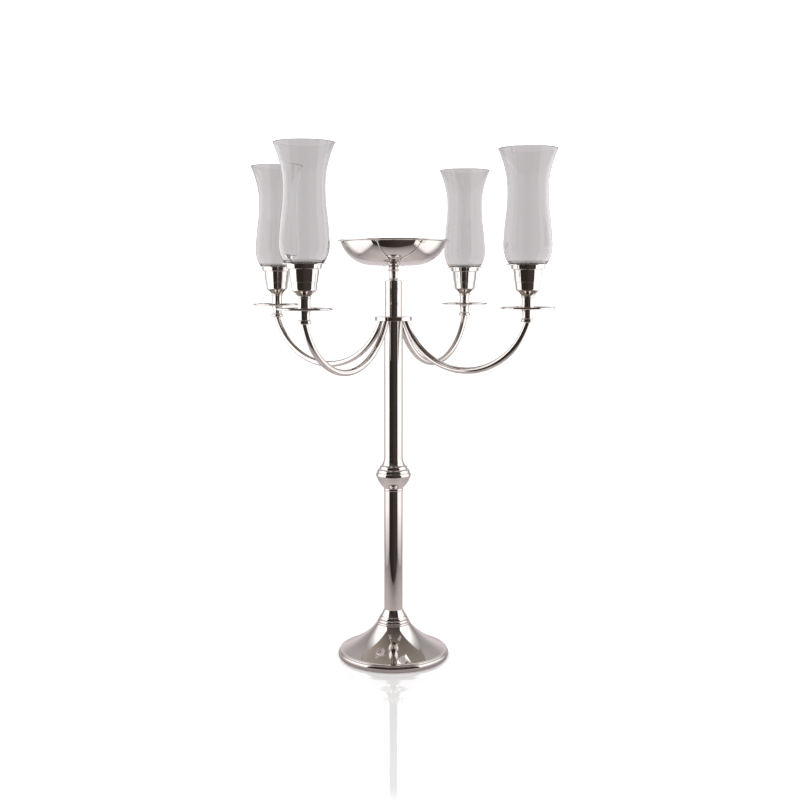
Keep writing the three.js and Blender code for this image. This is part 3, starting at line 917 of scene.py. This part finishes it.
def drip_pan(number, nickel):
    """Thin saucer whose edge is rolled round a wire."""
    part, place = at_cup("drip_pan", number)
    low, high, rim = part.bottom, part.top, part.radius
    sheet, flat, bead, bead_steps = 1.2, 16, (high - low) / 2 - 0.05, 24
    outline = Outline(STUD_HOLE, low + 0.7).line(STUD_HOLE, low, 0.1).line(flat, low, 0.0)
    outline.curve(2 * flat, low + 0.1, rim - 2 * bead, low + 0.7, 20, 0.3)
    for step in range(bead_steps + 1):
        angle = math.radians(-140 + 290 * step / bead_steps)
        outline.line(rim - bead + bead * math.cos(angle), high - bead + bead * math.sin(angle), 0.0)
    outline.line(rim - 2 * bead - 0.1, high - bead, 0.3)
    outline.curve(31, low + sheet, flat, low + sheet, 20).line(STUD_HOLE, low + sheet, 0.1).close()
    turned(f"drip_pan_{number}", outline, FACETS_MEDIUM, nickel, "arm_tier", "polished_nickel", **place)


def cup_stem(number, nickel):
    """Short turned neck with a low ring at each end."""
    part, place = at_cup("cup_stem", number)
    low, high = part.bottom - JOIN, part.top
    outline = Outline(STUD_HOLE, low + 9).line(STUD_HOLE, low, 0.2).line(10.4, low, 0.3)
    outline.line(10.3, low + 1.6, 0.5).line(9.9, low + 2.2, 0.2).curve(9.0, low + 9.6, 9.8, high - 2.0, 16)
    outline.line(10.4, high - 1.5, 0.3).line(10.2, high + JOIN, 0.3)
    outline.line(STUD_HOLE, high + JOIN, 0.2).close()
    turned(f"cup_stem_{number}", outline, FACETS_SMALL, nickel, "arm_tier", "polished_nickel", **place)


def candle_cup(number, nickel):
    """Cup in three tiers: bell-shaped underside, tapered wall with a step, and a wider collar."""
    part, place = at_cup("candle_cup", number)
    low, high, floor = part.bottom, part.top, part.bottom + 12.7
    outline = Outline(STUD_HOLE, low + 6).line(STUD_HOLE, low, 0.2).line(9.8, low, 0.3)
    outline.line(10.2, low + 1.4, 0.4).curve(13.4, low + 5.6, 17.8, low + 8.8, 20)
    outline.curve(19.2, low + 10.2, 19.3, low + 12.6, 10)
    outline.line(20.2, low + 22.2, 0.15).line(20.9, low + 22.6, 0.2).line(23.0, low + 41.9, 0.2)
    outline.line(23.6, low + 42.4, 0.3).line(26.4, low + 42.7, 0.4).line(27.3, high + JOIN, 0.2)
    outline.line(25.4, high + JOIN, 0.2).line(25.1, high - 4.2, 0.4).line(21.7, high - 4.8, 0.4)
    outline.line(18.8, low + 23.2, 0.4).line(17, floor, 1.5).line(STUD_HOLE, floor, 0.2).close()
    turned(f"candle_cup_{number}", outline, FACETS_SMALL, nickel, "arm_tier", "polished_nickel", **place)


def gallery_ring(number, nickel):
    """Thin flat plate on the cup, which the shade's foot stands on."""
    part, place = at_cup("gallery_ring", number)
    outline = ring_outline(21.4, part.radius, part.bottom, part.top, 0.4)
    turned(f"gallery_ring_{number}", outline, FACETS_MEDIUM, nickel, "arm_tier", "polished_nickel", **place)


def candle_socket(number, nickel):
    """Holder for the candle's foot, with a rolled lip and a bevelled mouth."""
    part, place = at_cup("candle_socket", number)
    low, high, wall = part.bottom - JOIN, part.top, part.radius
    bore, floor, hole_top = 11.2, low + 6.5, low + 4.2
    outline = Outline(0, hole_top).line(STUD_HOLE, hole_top, 0.2).line(STUD_HOLE, low, 0.2)
    outline.line(wall - 0.6, low, 0.4)
    outline.line(wall - 0.6, high - 2.6, 0.3).reed(wall - 0.7, high, 0.6, 14).line(bore + 1.0, high, 0.3)
    outline.line(bore, high - 1.0, 0.3).line(bore, floor, 0.6).line(0, floor, 0.0)
    turned(f"candle_socket_{number}", outline, FACETS_SMALL, nickel, "arm_tier", "polished_nickel", **place)


def shade_side(outline, part, inset, steps):
    """Side of the shade from its foot to its mouth: belly, waist and flare."""
    top = part.top
    outline.curve(38.9 - inset, top - 169, 38.7 - inset, top - 149, steps)
    outline.curve(37.3 - inset, top - 123, 34 - inset, top - 97.5, steps)
    outline.curve(31.6 - inset, top - 74.5, 33 - inset, top - 50, steps)
    return outline.curve(36 - inset, top - 25, part.radius - inset, top, steps)


def hurricane_shade(number, glass):
    """Blown shade: collar in the cup, tucked foot, belly, waist and a flared, fire-polished mouth."""
    part, place = at_cup("hurricane_shade", number)
    wall, collar, foot = 2.0, 20.2, 29.4
    seat = span(f"gallery_ring_{number}").top + 0.12
    outline = Outline(collar - wall / 2, part.bottom).line(collar, part.bottom, 0.6)
    outline.line(collar, seat, 0.5).line(foot, seat, 1.2)
    shade_side(outline, part, 0, 24)
    inside = Outline(collar - wall, seat + wall).line(foot - wall, seat + wall + 0.2, 1.2)
    shade_side(inside, part, wall, 24)
    outline.points[-1] = (part.radius, part.top - 0.6)
    outline.line(part.radius - 0.4, part.top, 0.5).line(part.radius - wall + 0.3, part.top, 0.5)
    inside.points[-1] = (part.radius - wall - 0.2, part.top - 0.6)
    outline.points += inside.points[::-1]
    outline.fillets += inside.fillets[::-1]
    outline.line(collar - wall, part.bottom, 0.6).close()
    name, body = f"hurricane_shade_{number}", f"shade_{number}"
    turned(name, outline, FACETS_MEDIUM, glass, body, "clear_glass", **place)


# ---- assembly ----


def build():
    """Every piece of the candelabra: base, column and bowl, then each arm with its cup and shade."""
    nickel = nickel_material()
    glass = glass_material()
    steel = steel_material()
    felt_pad(felt_material())
    base_ballast(iron_material())
    base_shell(nickel)
    base_ferrule(nickel)
    rod = span("tie_rod")
    rod_threads = [(rod.bottom, rod.bottom + 15), (rod.top - 22, rod.top)]
    threaded("tie_rod", steel, "stand", M8_PITCH, M8_DEPTH, rod_threads)
    for place in ("base", "hub"):
        hex_nut(f"{place}_nut", steel, "stand")
        washer(f"{place}_washer", steel, "stand")
    column_tube("lower_column_tube", nickel)
    column_knop(nickel)
    column_tube("upper_column_tube", nickel)
    column_tube("column_sleeve", nickel, reach_below=0)
    sleeve_cap(nickel)
    arm_hub(nickel)
    bowl_stem(nickel)
    bowl_flange(nickel)
    bowl(nickel)
    for number in ARM_NUMBERS:
        arm(number, nickel)
        for make in (arm_ferrule, drip_pan, cup_stem, candle_cup, gallery_ring, candle_socket):
            make(number, nickel)
        stud, place = at_cup("cup_stud", number)
        stud_threads = [(stud.bottom, stud.top)]
        threaded(f"cup_stud_{number}", steel, "arm_tier", M6_PITCH, M6_DEPTH, stud_threads, **place)
        hurricane_shade(number, glass)


make_camera()
make_studio()
build()
